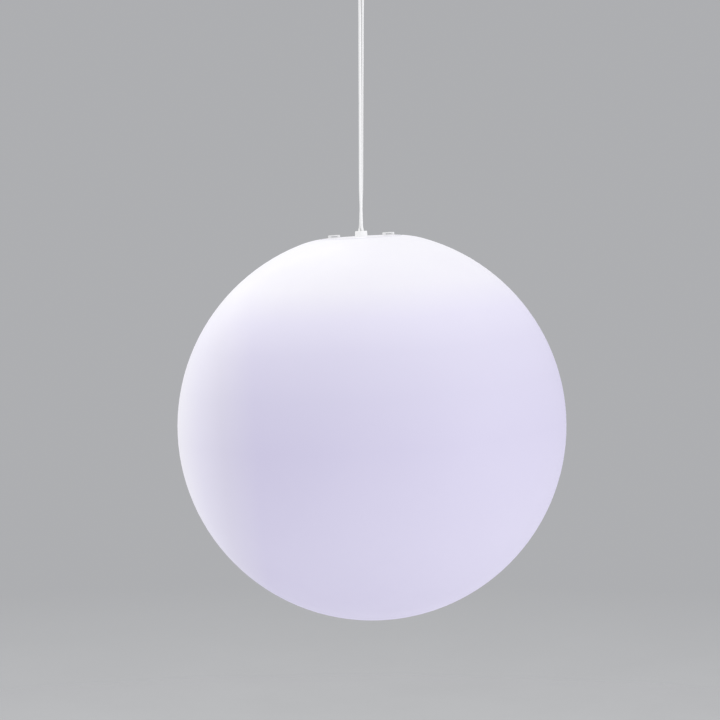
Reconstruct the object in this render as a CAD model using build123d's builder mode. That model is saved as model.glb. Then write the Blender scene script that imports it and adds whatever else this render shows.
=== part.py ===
from build123d import *

import math
import os

# A hanging garden globe light: a ceiling fitting, a straight twin cord and a blow-white globe.
# Millimetres, +Z up. The origin is on the ceiling, over the cord; everything hangs below it.
# The globe leans a little to one side on its cord, so its pieces are drawn on a plane of their own.

# ---------------------------------------------------------------- driving dimensions

# fits and gaps
THREAD_FIT = 0.05  # a screw or threaded tube in its hole, all round
SLIP_FIT = 0.1  # a piece pushed into another, all round
COVER_GAP = 0.5  # the cover plate in its recess, all round
JOINT_GAP = 0.3  # where the cord bends or turns against its neighbour

# globe shell
GLOBE_DIA = 400.0
GLOBE_WALL = 3.0
WALL_DRIFT = 0.536  # the cavity lies this far off centre: the moulded wall is thicker on one side
GLOBE_LEAN = 3.2  # degrees between the globe's own axis and the hanging cord
FLAT_DIA = 91.0  # the flattened crown, to where its plane meets the sphere
CROWN_ROUND = 100.0  # rolls the crown's edge into the sphere
RECESS_EDGE = 0.4
LEDGE_WIDTH = 8.0  # the cover rests on this much; the lamp goes in through the opening inside it
LEDGE_WALL = 4.0  # the ledge that the cover is clamped to
COLLAR_WALL = 5.5  # round the recess
COLLAR_ROUND = 3.0

# cover plate, gasket and clamp bar
COVER_DIA = 82.0
COVER_WALL = 3.0
COVER_EDGE = 0.4
SPIGOT_WALL = 1.5  # the ring under the cover that centres it in the opening
SPIGOT_DEPTH = 4.5
GASKET_WALL = 2.0
GASKET_MARGIN = 0.5
BAR_LENGTH = 84.0
BAR_WIDTH = 18.0
BAR_WALL = 2.5

# cover screws
SCREW_DIA = 6.0
SCREW_HEAD_DIA = 12.2
SCREW_HEAD = 2.4
SCREW_HEAD_ROUND = 0.4
CROSS_SLOT_WIDTH = 7.0  # through the head, for a flat bar that turns it
CROSS_SLOT_HEIGHT = 1.1
CROSS_SLOT_ROOF = 0.9  # from the slot to the head's top
CROSS_SLOT_TURN = 7.0  # degrees from the globe's front
SCREW_TIP = 2.0  # past the clamp bar
WASHER_WALL = 0.6
BOSS_DIA = 9.0
BOSS_INSET = 0.2  # from the centring ring's outside

# cord strain relief in the cover
RELIEF_HEIGHT = 5.8  # above the cover, with its seal
RELIEF_TOP_DIA = 12.2
RELIEF_BASE_DIA = 12.7
RELIEF_NECK_DIA = 10.8
RELIEF_LIP_DIA = 12.2
RELIEF_LIP = 1.5
RELIEF_TIP_DIA = 9.6
RELIEF_TAIL = 5.0  # below the cover
RELIEF_EDGE = 0.6
WEDGE_WIDTH = 5.2
WEDGE_WALL = 2.3
SEAL_WALL = 1.0
SEAL_DIA = 13.0

# twin cord
CORE_DIA = 2.9  # each half of the figure-of-eight
CORE_PITCH = 2.8
CORD_FREE = 252.0  # from the ceiling grip's mouth to the strain relief's mouth
TOP_BEND = 6.0  # between the two lines that the cord's top bends about
TAIL_LENGTH = 8.0  # from the turning place to the line that the tail bends about
LEAD_DIA = 2.5  # one half of the cord, split off

# canopy and bracket
CANOPY_HEIGHT = 26.0
CANOPY_WALL = 2.0
CANOPY_ROUND = 8.0
BRACKET_LENGTH = 92.8
BRACKET_WIDTH = 20.0
BRACKET_WALL = 2.0
BRACKET_LEG = 16.0
BRACKET_BEND = 3.0
BRACKET_GAP = 0.5  # from the corners of the bracket's legs to the canopy's wall
CEILING_SPACING = 72.0
CEILING_HOLE_DIA = 4.8
SUPPLY_HOLE_DIA = 13.0
SIDE_SCREW_DIA = 4.0
SIDE_SCREW_HEAD_DIA = 7.2
SIDE_SCREW_HEAD = 2.2
SIDE_SCREW_DROP = 9.0  # below the ceiling
SIDE_SCREW_TIP = 2.4  # past the bracket's leg
SLOT_WIDTH = 0.8  # for a screwdriver, in the small screws
SLOT_DEPTH = 1.0

# cord grip under the canopy
GRIP_DROP = 12.0  # from the canopy to the grip's mouth
GRIP_THREAD_DIA = 10.0
GRIP_THREAD_TOP = 7.0  # above the canopy's floor
GRIP_BORE_DIA = 6.4
GRIP_FLANGE_DIA = 18.0
GRIP_FLANGE = 2.0
GRIP_SKIRT_DIA = 13.0
GRIP_SKIRT = 7.0
GRIP_CAP_DIA = 17.0
GRIP_CAP_FLOOR = 2.0
GRIP_CAP_LENGTH = 9.0
COLLET_DIA = 10.8
COLLET_LENGTH = 6.0
NUT_FLATS = 14.0
NUT_WALL = 3.0

# terminal block
BLOCK_START = 13.0  # from the cord's line
BLOCK_LENGTH = 18.0
BLOCK_WIDTH = 18.0
BLOCK_HEIGHT = 12.0
POLE_PITCH = 9.0
POLE_TUBE_DIA = 5.2
POLE_TUBE_LENGTH = 10.0
SUPPLY_BORE_DIA = 3.2
POLE_SCREW_DIA = 3.0
POLE_SCREW_PITCH = 5.0
BLOCK_SCREW_DIA = 2.8
BLOCK_SCREW_HEAD_DIA = 5.2
BLOCK_SCREW_HEAD = 2.0

# lamp holder
NIPPLE_DIA = 10.0
NIPPLE_BORE = 7.6
NIPPLE_LENGTH = 18.0
HOLDER_DIA = 41.0
HOLDER_WALL = 2.0
HOLDER_NECK_DIA = 16.0
HOLDER_NECK = 11.5
HOLDER_SHOULDER = 8.0
HOLDER_CAP_LENGTH = 41.5
HOLDER_EDGE = 2.0
BASE_WALL = 10.0
POST_DIA = 6.0
POST_HEIGHT = 6.0
POST_SPACING = 18.0
POST_SCREW_DIA = 2.4
POST_SCREW_HEAD = 1.5  # stands out of the post
SKIRT_LENGTH = 26.0
SKIRT_MOUTH_DIA = 29.2
SOCKET_BORE = 27.4
SOCKET_WALL = 0.7
SOCKET_LENGTH = 23.0
SOCKET_FLANGE_DIA = 33.0
SOCKET_FLANGE_GAP = 1.0  # between the flange and the skirt's rim
PLUNGER_DIA = 6.0
PLUNGER_LENGTH = 3.0

# lamp
PIP_DIA = 9.2
PIP_HEIGHT = 1.2
LAMP_CAP_DIA = 26.4
LAMP_CAP_WALL = 0.5
LAMP_CAP_LENGTH = 20.0
LAMP_TOP_SLOPE = 3.8
LAMP_INSULATOR_WALL = 2.0
LAMP_DIA = 59.0
LAMP_WALL = 1.6
LAMP_PLUG = 6.0
LAMP_NECK_DIA = 28.0
LAMP_FLARE = 40.0
LAMP_RIM = 6.0
DIFFUSER_WALL = 1.2
DIFFUSER_STRAIGHT = 10.0
BOARD_WALL = 1.6
CHIP_SIDE = 3.0
CHIP_HEIGHT = 0.8
CHIP_COUNT = 8
CHIP_CIRCLE = 32.0
DRIVER_WIDTH = 20.0
DRIVER_LENGTH = 36.0

# ---------------------------------------------------------------- places worked out from them

cord_width = CORE_PITCH + CORE_DIA
bend_half = cord_width / 2  # a bend across the cord's width
bend_thin = CORE_DIA / 2  # a bend across its thickness
lean = math.radians(GLOBE_LEAN)

# heights down the cord, from the ceiling
grip_mouth_z = -(CANOPY_HEIGHT + GRIP_DROP)
swing_side_z = grip_mouth_z - JOINT_GAP - bend_half
swing_fore_z = swing_side_z - TOP_BEND
cord_start_z = swing_fore_z - bend_thin - JOINT_GAP
relief_mouth_z = grip_mouth_z - CORD_FREE
rock_z = relief_mouth_z + bend_thin + JOINT_GAP + bend_half * math.sin(lean)
turn_z = rock_z + TAIL_LENGTH

# heights on the globe's own axis, from its centre
globe_r = GLOBE_DIA / 2
flat_h = math.sqrt(globe_r**2 - (FLAT_DIA / 2) ** 2)
cover_under_h = flat_h - COVER_WALL
ledge_h = cover_under_h - GASKET_WALL
ledge_under_h = ledge_h - LEDGE_WALL
bar_under_h = ledge_under_h - BAR_WALL
head_seat_h = flat_h + WASHER_WALL
head_top_h = head_seat_h + SCREW_HEAD
relief_seat_h = flat_h + SEAL_WALL
relief_mouth_h = flat_h + RELIEF_HEIGHT
relief_tip_h = cover_under_h - RELIEF_TAIL
holder_top_h = bar_under_h - NUT_WALL
nipple_end_h = ledge_under_h - NIPPLE_LENGTH
holder_mid_h = holder_top_h - HOLDER_CAP_LENGTH  # where the cap meets the skirt
base_top_h = holder_mid_h + BASE_WALL
post_top_h = base_top_h + POST_HEIGHT
skirt_end_h = holder_mid_h - SKIRT_LENGTH
lamp_top_h = holder_mid_h - PLUNGER_LENGTH
insulator_h = lamp_top_h - PIP_HEIGHT
lamp_cap_top_h = insulator_h - LAMP_TOP_SLOPE
lamp_cap_end_h = lamp_cap_top_h - LAMP_CAP_LENGTH
flare_end_h = lamp_cap_end_h - LAMP_FLARE
lamp_rim_h = flare_end_h - LAMP_RIM
board_h = flare_end_h - LAMP_WALL / 2  # the LED board's upper face, against the flare

# the globe's planes: its centre hangs below the strain relief's mouth, along the leaning axis
globe_centre = Vector(
    relief_mouth_h * math.sin(lean),
    0,
    relief_mouth_z - relief_mouth_h * math.cos(lean),
)
globe = Plane(
    origin=globe_centre,
    x_dir=(math.cos(lean), 0, math.sin(lean)),
    z_dir=(-math.sin(lean), 0, math.cos(lean)),
)
globe_section = Plane(origin=globe_centre, x_dir=globe.x_dir, z_dir=-globe.y_dir)
globe_axis = Axis(globe_centre, globe.z_dir)

recess_r = COVER_DIA / 2 + COVER_GAP
opening_r = COVER_DIA / 2 - LEDGE_WIDTH
spigot_r = opening_r - COVER_GAP
screw_x = spigot_r - BOSS_DIA / 2 - BOSS_INSET
screw_spots = [(-screw_x, 0), (screw_x, 0)]
nut_r = NUT_FLATS / math.sqrt(3)


def turned(plane, *corners):
    """Half the section of a turned piece. A corner is (radius, height) or (radius, height, rounding)."""
    with BuildSketch(plane, mode=Mode.PRIVATE) as section:
        with BuildLine():
            FilletPolyline(
                *[corner[:2] for corner in corners],
                radius=[corner[2] if len(corner) == 3 else 0 for corner in corners],
                close=True,
            )
        make_face()
    return section.sketch


def rings(plane, outer_r, inner_r=0.0, spots=((0, 0),)):
    """Discs on a plane, each with a hole where it has an inner radius."""
    with BuildSketch(plane, mode=Mode.PRIVATE) as section:
        with Locations(*spots):
            Circle(outer_r)
            if inner_r:
                Circle(inner_r, mode=Mode.SUBTRACT)
    return section.sketch


def twin(plane, grow=0.0):
    """The twin cord's figure-of-eight section, larger all round by grow."""
    return rings(plane, CORE_DIA / 2 + grow, spots=[(-CORE_PITCH / 2, 0), (CORE_PITCH / 2, 0)])


def crown_outline():
    """Half the section of the globe's outside: a sphere with a flattened, rolled-off crown."""
    with BuildSketch(globe_section, mode=Mode.PRIVATE) as section:
        with BuildLine():
            Line((0, flat_h), (FLAT_DIA / 2, flat_h))
            ThreePointArc((FLAT_DIA / 2, flat_h), (globe_r, 0), (0, -globe_r))
            Line((0, -globe_r), (0, flat_h))
        make_face()
        fillet(section.vertices().sort_by(lambda v: v.X * v.Y)[-1], CROWN_ROUND)
    return section.sketch


def rim(part, edge_r):
    """A turned part's uppermost round edge of a radius, on the globe's axis."""
    edges = part.edges().filter_by(GeomType.CIRCLE)
    return edges.filter_by(lambda edge: abs(edge.radius - edge_r) < 0.01).sort_by(globe_axis)[-1]


def nut(plane, bore_r):
    """A hexagon nut's section."""
    with BuildSketch(plane, mode=Mode.PRIVATE) as section:
        RegularPolygon(nut_r, 6)
        Circle(bore_r, mode=Mode.SUBTRACT)
    return section.sketch


# ================================================================ ceiling fitting

floor_z = -(CANOPY_HEIGHT - CANOPY_WALL)
grip_thread_r = GRIP_THREAD_DIA / 2
grip_top_z = floor_z + GRIP_THREAD_TOP
leg_out = BRACKET_LENGTH / 2
leg_in = leg_out - BRACKET_WALL
canopy_in_r = math.hypot(leg_out, BRACKET_WIDTH / 2) + BRACKET_GAP
canopy_r = canopy_in_r + CANOPY_WALL
side_screw_r = SIDE_SCREW_DIA / 2
block_z = -(BRACKET_WALL + BLOCK_HEIGHT / 2)
block_end = BLOCK_START + BLOCK_LENGTH
block_mid = BLOCK_START + BLOCK_LENGTH / 2
pole_spots = [(-POLE_PITCH / 2, block_z), (POLE_PITCH / 2, block_z)]
tube_start = block_mid - POLE_TUBE_LENGTH / 2
lead_r = LEAD_DIA / 2
lead_bore_r = lead_r + SLIP_FIT

with BuildPart() as mounting_bracket:
    # a strap bent down at both ends
    with BuildSketch(Plane.XZ):
        with BuildLine():
            FilletPolyline(
                (-leg_out, -BRACKET_LEG),
                (-leg_out, 0),
                (leg_out, 0),
                (leg_out, -BRACKET_LEG),
                (leg_in, -BRACKET_LEG),
                (leg_in, -BRACKET_WALL),
                (-leg_in, -BRACKET_WALL),
                (-leg_in, -BRACKET_LEG),
                radius=[
                    0,
                    BRACKET_BEND,
                    BRACKET_BEND,
                    0,
                    0,
                    BRACKET_BEND - BRACKET_WALL,
                    BRACKET_BEND - BRACKET_WALL,
                    0,
                ],
                close=True,
            )
        make_face()
    extrude(amount=BRACKET_WIDTH / 2, both=True)
    # screws into the ceiling, the supply cable, and the terminal block's screw
    with BuildSketch():
        with GridLocations(CEILING_SPACING, 0, 2, 1):
            Circle(CEILING_HOLE_DIA / 2)
        Circle(SUPPLY_HOLE_DIA / 2)
        with Locations((block_mid, 0)):
            Circle(BLOCK_SCREW_DIA / 2 + THREAD_FIT)
    extrude(amount=-BRACKET_WALL, mode=Mode.SUBTRACT)
    # tapped holes for the canopy's side screws
    extrude(
        rings(Plane.YZ, side_screw_r + THREAD_FIT, spots=[(0, -SIDE_SCREW_DROP)]),
        amount=leg_out,
        both=True,
        mode=Mode.SUBTRACT,
    )
mounting_bracket.part.label = "mounting_bracket"

with BuildPart() as canopy:
    revolve(
        turned(
            Plane.XZ,
            (0, 0),
            (canopy_r, 0),
            (canopy_r, -CANOPY_HEIGHT, CANOPY_ROUND),
            (0, -CANOPY_HEIGHT),
        ),
        axis=Axis.Z,
    )
    revolve(
        turned(
            Plane.XZ,
            (0, 0),
            (canopy_in_r, 0),
            (canopy_in_r, floor_z, CANOPY_ROUND - CANOPY_WALL),
            (0, floor_z),
        ),
        axis=Axis.Z,
        mode=Mode.SUBTRACT,
    )
    extrude(
        rings(Plane.XY.offset(floor_z), grip_thread_r + SLIP_FIT),
        amount=-CANOPY_WALL,
        mode=Mode.SUBTRACT,
    )
    extrude(
        rings(Plane.YZ, side_screw_r + SLIP_FIT, spots=[(0, -SIDE_SCREW_DROP)]),
        amount=canopy_r,
        both=True,
        mode=Mode.SUBTRACT,
    )
canopy.part.label = "canopy"

with BuildPart() as canopy_screws:
    side_spot = [(0, -SIDE_SCREW_DROP)]
    shank_start = leg_in - SIDE_SCREW_TIP
    extrude(
        rings(Plane.YZ.offset(shank_start), side_screw_r, spots=side_spot),
        amount=canopy_r - shank_start,
    )
    extrude(
        rings(Plane.YZ.offset(canopy_r), SIDE_SCREW_HEAD_DIA / 2, spots=side_spot),
        amount=SIDE_SCREW_HEAD,
    )
    fillet(
        canopy_screws.faces().sort_by(Axis.X)[-1].edges(),
        radius=SIDE_SCREW_HEAD / 3,
    )
    with BuildSketch(Plane.YZ.offset(canopy_r + SIDE_SCREW_HEAD)):
        with Locations(*side_spot):
            Rectangle(SLOT_WIDTH, SIDE_SCREW_HEAD_DIA)
    extrude(amount=-SLOT_DEPTH, mode=Mode.SUBTRACT)
    mirror(about=Plane.YZ)
canopy_screws.part.label = "canopy_screws"

with BuildPart() as cord_grip:
    # the threaded spout through the canopy, its flange and the collet's seat below
    revolve(
        turned(
            Plane.XZ,
            (GRIP_BORE_DIA / 2, grip_top_z),
            (grip_thread_r, grip_top_z),
            (grip_thread_r, -CANOPY_HEIGHT),
            (GRIP_FLANGE_DIA / 2, -CANOPY_HEIGHT),
            (GRIP_FLANGE_DIA / 2, -CANOPY_HEIGHT - GRIP_FLANGE, GRIP_FLANGE / 3),
            (GRIP_SKIRT_DIA / 2, -CANOPY_HEIGHT - GRIP_FLANGE),
            (GRIP_SKIRT_DIA / 2, -CANOPY_HEIGHT - GRIP_FLANGE - GRIP_SKIRT),
            (COLLET_DIA / 2 + SLIP_FIT, -CANOPY_HEIGHT - GRIP_FLANGE - GRIP_SKIRT),
            (COLLET_DIA / 2 + SLIP_FIT, grip_mouth_z + GRIP_CAP_FLOOR + COLLET_LENGTH),
            (GRIP_BORE_DIA / 2, grip_mouth_z + GRIP_CAP_FLOOR + COLLET_LENGTH),
        ),
        axis=Axis.Z,
    )
cord_grip.part.label = "cord_grip"

with BuildPart() as grip_nut:
    extrude(nut(Plane.XY.offset(floor_z), grip_thread_r + THREAD_FIT), amount=NUT_WALL)
grip_nut.part.label = "grip_nut"

with BuildPart() as grip_cap:
    cap_top_z = grip_mouth_z + GRIP_CAP_LENGTH
    cap_bore_r = GRIP_SKIRT_DIA / 2 + THREAD_FIT
    revolve(
        turned(
            Plane.XZ,
            (0, grip_mouth_z),
            (GRIP_CAP_DIA / 2, grip_mouth_z, GRIP_CAP_FLOOR),
            (GRIP_CAP_DIA / 2, cap_top_z),
            (cap_bore_r, cap_top_z),
            (cap_bore_r, grip_mouth_z + GRIP_CAP_FLOOR),
            (0, grip_mouth_z + GRIP_CAP_FLOOR),
        ),
        axis=Axis.Z,
    )
    extrude(
        twin(Plane.XY.offset(grip_mouth_z), SLIP_FIT),
        amount=GRIP_CAP_FLOOR,
        mode=Mode.SUBTRACT,
    )
grip_cap.part.label = "grip_cap"

with BuildPart() as grip_collet:
    collet_plane = Plane.XY.offset(grip_mouth_z + GRIP_CAP_FLOOR)
    extrude(rings(collet_plane, COLLET_DIA / 2), amount=COLLET_LENGTH)
    extrude(twin(collet_plane, THREAD_FIT), amount=COLLET_LENGTH, mode=Mode.SUBTRACT)
grip_collet.part.label = "grip_collet"

# the cord's upper end, held by the grip
cord_head_z = grip_top_z + SEAL_WALL
with BuildPart() as cord_head:
    extrude(twin(Plane.XY.offset(grip_mouth_z)), amount=cord_head_z - grip_mouth_z)
cord_head.part.label = "cord_head"

with BuildPart() as terminal_block:
    with BuildSketch(Plane.XY.offset(-BRACKET_WALL)):
        with Locations((block_mid, 0)):
            RectangleRounded(BLOCK_LENGTH, BLOCK_WIDTH, 1.5)
    extrude(amount=-BLOCK_HEIGHT)
    # the chambers of the brass tubes, the lead's side and the supply's side
    extrude(
        rings(Plane.YZ.offset(tube_start), POLE_TUBE_DIA / 2 + THREAD_FIT, spots=pole_spots),
        amount=POLE_TUBE_LENGTH,
        mode=Mode.SUBTRACT,
    )
    extrude(
        rings(Plane.YZ.offset(BLOCK_START), lead_bore_r, spots=pole_spots),
        amount=tube_start - BLOCK_START,
        mode=Mode.SUBTRACT,
    )
    extrude(
        rings(Plane.YZ.offset(block_end), SUPPLY_BORE_DIA / 2, spots=pole_spots),
        amount=tube_start + POLE_TUBE_LENGTH - block_end,
        mode=Mode.SUBTRACT,
    )
    # wells over the clamping screws, and the fixing screw's hole
    with BuildSketch(Plane.XY.offset(-BRACKET_WALL - BLOCK_HEIGHT)):
        with Locations((block_mid, 0)):
            with GridLocations(POLE_SCREW_PITCH, POLE_PITCH, 2, 2):
                Circle(POLE_SCREW_DIA / 2 + SLIP_FIT)
    extrude(amount=BLOCK_HEIGHT / 2, mode=Mode.SUBTRACT)
    with Locations(Plane((block_mid, 0, -BRACKET_WALL - BLOCK_HEIGHT), z_dir=(0, 0, -1))):
        CounterBoreHole(
            radius=BLOCK_SCREW_DIA / 2 + SLIP_FIT,
            counter_bore_radius=BLOCK_SCREW_HEAD_DIA / 2 + SLIP_FIT,
            counter_bore_depth=BLOCK_SCREW_HEAD,
            depth=BLOCK_HEIGHT,
        )
terminal_block.part.label = "terminal_block"

pole_screw_z = block_z - lead_bore_r - SLIP_FIT  # the clamping screws' tips, just under the leads
with BuildPart() as terminal_tubes:
    extrude(
        rings(Plane.YZ.offset(tube_start), POLE_TUBE_DIA / 2, lead_bore_r, spots=pole_spots),
        amount=POLE_TUBE_LENGTH,
    )
    with BuildSketch(Plane.XY.offset(block_z - POLE_TUBE_DIA / 2)):
        with Locations((block_mid, 0)):
            with GridLocations(POLE_SCREW_PITCH, POLE_PITCH, 2, 2):
                Circle(POLE_SCREW_DIA / 2 + THREAD_FIT)
    extrude(amount=POLE_TUBE_DIA / 2, mode=Mode.SUBTRACT)
terminal_tubes.part.label = "terminal_tubes"

with BuildPart() as terminal_screws:
    with BuildSketch(Plane.XY.offset(pole_screw_z)):
        with Locations((block_mid, 0)):
            with GridLocations(POLE_SCREW_PITCH, POLE_PITCH, 2, 2):
                Circle(POLE_SCREW_DIA / 2)
    extrude(amount=-(pole_screw_z + BRACKET_WALL + BLOCK_HEIGHT - SLOT_DEPTH))
terminal_screws.part.label = "terminal_screws"

with BuildPart() as block_screw:
    block_under_z = -BRACKET_WALL - BLOCK_HEIGHT
    revolve(
        turned(
            Plane.XZ,
            (0, 0),
            (BLOCK_SCREW_DIA / 2, 0),
            (BLOCK_SCREW_DIA / 2, block_under_z + BLOCK_SCREW_HEAD),
            (BLOCK_SCREW_HEAD_DIA / 2, block_under_z + BLOCK_SCREW_HEAD),
            (BLOCK_SCREW_HEAD_DIA / 2, block_under_z),
            (0, block_under_z),
        ).moved(Location((block_mid, 0, 0))),
        axis=Axis((block_mid, 0, 0), (0, 0, 1)),
    )
block_screw.part.label = "block_screw"

# ================================================================ leads

lead_run = 2.6  # a lead's straight runs, out of the cord and into its post
top_lead_bends = [6.5, 8.0]
lamp_lead_bends = [5.0, 5.0]


def lead_route(name, plane, *points, radii):
    """A lead's centre line on a plane's axes, with the radii of its bends printed."""
    print(f"{name}: bend radii {radii} mm")
    with BuildLine(plane, mode=Mode.PRIVATE) as route:
        FilletPolyline(*points, radius=radii)
    return route.line


leads = []
for lead_side, lead_name in ((-1, "neutral"), (1, "live")):
    top_route = lead_route(
        f"{lead_name}_lead_top",
        Plane.XY,
        (lead_side * CORE_PITCH / 2, 0, cord_head_z),
        (lead_side * CORE_PITCH / 2, 0, block_z),
        (BLOCK_START - 1.5 * LEAD_DIA, lead_side * POLE_PITCH / 2, block_z),
        (block_mid - SLIP_FIT, lead_side * POLE_PITCH / 2, block_z),
        radii=top_lead_bends,
    )
    with BuildPart() as lead_top:
        sweep(rings(Plane(top_route @ 0, z_dir=top_route % 0), lead_r), path=top_route)
    lead_top.part.label = f"{lead_name}_lead_top"
    lamp_route = lead_route(
        f"{lead_name}_lead_lamp",
        globe,
        (lead_side * CORE_PITCH / 2, 0, nipple_end_h - SEAL_WALL),
        (lead_side * CORE_PITCH / 2, 0, nipple_end_h - SEAL_WALL - lead_run),
        (lead_side * POST_SPACING / 2, 0, post_top_h + lead_run),
        (lead_side * POST_SPACING / 2, 0, base_top_h + lead_run),
        radii=lamp_lead_bends,
    )
    with BuildPart() as lead_lamp:
        sweep(rings(Plane(lamp_route @ 0, z_dir=lamp_route % 0), lead_r), path=lamp_route)
    lead_lamp.part.label = f"{lead_name}_lead_lamp"
    leads += [lead_top, lead_lamp]

# ================================================================ free cord

with BuildPart() as cord_top:
    # the flexing top: round across the cord's width above, and across its thickness below
    top_end_z = swing_side_z + bend_half
    top_foot_z = swing_fore_z - bend_thin
    extrude(twin(Plane.XY.offset(top_foot_z)), amount=top_end_z - top_foot_z)
    with BuildSketch(Plane.XZ):
        with Locations((0, swing_side_z)):
            Circle(bend_half)
        with Locations((0, (swing_side_z + top_foot_z) / 2)):
            Rectangle(cord_width + CORE_DIA, swing_side_z - top_foot_z)
    extrude(amount=cord_width, both=True, mode=Mode.INTERSECT)
    with BuildSketch(Plane.YZ):
        with Locations((0, swing_fore_z)):
            Circle(bend_thin)
        with Locations((0, (swing_fore_z + top_end_z) / 2)):
            Rectangle(cord_width, top_end_z - swing_fore_z)
    extrude(amount=cord_width, both=True, mode=Mode.INTERSECT)
cord_top.part.label = "cord_top"

with BuildPart() as cord:
    # pulled straight by the globe's weight, in one run
    extrude(twin(Plane.XY.offset(turn_z)), amount=cord_start_z - turn_z)
cord.part.label = "cord"

with BuildPart() as cord_tail:
    tail_foot_z = rock_z - bend_thin
    extrude(twin(Plane.XY.offset(tail_foot_z)), amount=turn_z - tail_foot_z)
    with BuildSketch(Plane.YZ):
        with Locations((0, rock_z)):
            Circle(bend_thin)
        with Locations((0, (rock_z + turn_z) / 2)):
            Rectangle(cord_width, turn_z - rock_z)
    extrude(amount=cord_width, both=True, mode=Mode.INTERSECT)
cord_tail.part.label = "cord_tail"

# ================================================================ globe and its closure

screw_r = SCREW_DIA / 2

with BuildPart() as globe_shell:
    revolve(crown_outline(), axis=globe_axis)
    with Locations(Plane(globe_centre + globe.x_dir * WALL_DRIFT, z_dir=globe.z_dir)):
        Sphere(globe_r - GLOBE_WALL, mode=Mode.SUBTRACT)
    # the collar that thickens the crown, then the cover's recess and the opening through it
    revolve(
        turned(
            globe_section,
            (0, ledge_under_h),
            (recess_r + COLLAR_WALL, ledge_under_h, COLLAR_ROUND),
            (recess_r + COLLAR_WALL, cover_under_h + COVER_WALL / 2),
            (0, cover_under_h + COVER_WALL / 2),
        ),
        axis=globe_axis,
    )
    extrude(rings(globe.offset(ledge_h), recess_r), amount=GLOBE_WALL * 3, mode=Mode.SUBTRACT)
    extrude(
        rings(globe.offset(ledge_under_h), opening_r), amount=GLOBE_WALL * 6, mode=Mode.SUBTRACT
    )
    fillet(rim(globe_shell, recess_r), RECESS_EDGE)
globe_shell.part.label = "globe_shell"

with BuildPart() as cover_plate:
    # its top follows the crown
    extrude(rings(globe.offset(cover_under_h), COVER_DIA / 2), amount=COVER_WALL)
    revolve(crown_outline(), axis=globe_axis, mode=Mode.INTERSECT)
    fillet(rim(cover_plate, COVER_DIA / 2), COVER_EDGE)
    # the centring ring and the screws' bosses below it
    under = globe.offset(cover_under_h)
    extrude(rings(under, spigot_r, spigot_r - SPIGOT_WALL), amount=-SPIGOT_DEPTH)
    extrude(rings(under, BOSS_DIA / 2, spots=screw_spots), amount=-SPIGOT_DEPTH)
    extrude(
        rings(globe.offset(flat_h), screw_r + SLIP_FIT, spots=screw_spots),
        amount=-COVER_WALL - SPIGOT_DEPTH,
        mode=Mode.SUBTRACT,
    )
    extrude(
        rings(globe.offset(flat_h), RELIEF_NECK_DIA / 2 + SLIP_FIT),
        amount=-COVER_WALL,
        mode=Mode.SUBTRACT,
    )
cover_plate.part.label = "cover_plate"

with BuildPart() as cover_gasket:
    extrude(
        rings(globe.offset(ledge_h), COVER_DIA / 2 - GASKET_MARGIN, opening_r + GASKET_MARGIN),
        amount=GASKET_WALL,
    )
cover_gasket.part.label = "cover_gasket"

with BuildPart() as clamp_bar:
    with BuildSketch(globe.offset(bar_under_h)):
        SlotOverall(BAR_LENGTH, BAR_WIDTH)
        Circle(NIPPLE_DIA / 2 + THREAD_FIT, mode=Mode.SUBTRACT)
        with Locations(*screw_spots):
            Circle(screw_r + THREAD_FIT, mode=Mode.SUBTRACT)
    extrude(amount=BAR_WALL)
clamp_bar.part.label = "clamp_bar"

with BuildPart() as cover_screws:
    extrude(
        rings(globe.offset(head_seat_h), SCREW_HEAD_DIA / 2, spots=screw_spots),
        amount=SCREW_HEAD,
    )
    fillet(cover_screws.faces().group_by(globe_axis)[-1].edges(), radius=SCREW_HEAD_ROUND)
    with BuildSketch(globe.offset(head_top_h - CROSS_SLOT_ROOF)):
        with Locations(*screw_spots):
            Rectangle(CROSS_SLOT_WIDTH, SCREW_HEAD_DIA, rotation=CROSS_SLOT_TURN)
    extrude(amount=-CROSS_SLOT_HEIGHT, mode=Mode.SUBTRACT)
    extrude(
        rings(globe.offset(head_seat_h), screw_r, spots=screw_spots),
        amount=bar_under_h - SCREW_TIP - head_seat_h,
    )
cover_screws.part.label = "cover_screws"

with BuildPart() as screw_washers:
    extrude(
        rings(globe.offset(flat_h), SCREW_HEAD_DIA / 2, screw_r + SLIP_FIT, spots=screw_spots),
        amount=WASHER_WALL,
    )
screw_washers.part.label = "screw_washers"

# ================================================================ strain relief and the cord inside

wedge_far = bend_thin + THREAD_FIT + WEDGE_WALL
with BuildPart() as strain_relief:
    revolve(
        turned(
            globe_section,
            (0, relief_mouth_h),
            (RELIEF_TOP_DIA / 2, relief_mouth_h, RELIEF_EDGE),
            (RELIEF_BASE_DIA / 2, relief_seat_h),
            (RELIEF_NECK_DIA / 2, relief_seat_h),
            (RELIEF_NECK_DIA / 2, cover_under_h),
            (RELIEF_LIP_DIA / 2, cover_under_h),
            (RELIEF_LIP_DIA / 2, cover_under_h - RELIEF_LIP),
            (RELIEF_TIP_DIA / 2, relief_tip_h),
            (0, relief_tip_h),
        ),
        axis=globe_axis,
    )
    # the cord's hole, and the channel of the wedge that grips it
    extrude(
        twin(globe.offset(relief_mouth_h), THREAD_FIT),
        amount=relief_tip_h - relief_mouth_h,
        mode=Mode.SUBTRACT,
    )
    with BuildSketch(globe.offset(relief_mouth_h)):
        with Locations((0, (wedge_far + SLIP_FIT) / 2)):
            Rectangle(WEDGE_WIDTH + 2 * SLIP_FIT, wedge_far + SLIP_FIT)
    extrude(amount=relief_tip_h - relief_mouth_h, mode=Mode.SUBTRACT)
strain_relief.part.label = "strain_relief"

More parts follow.
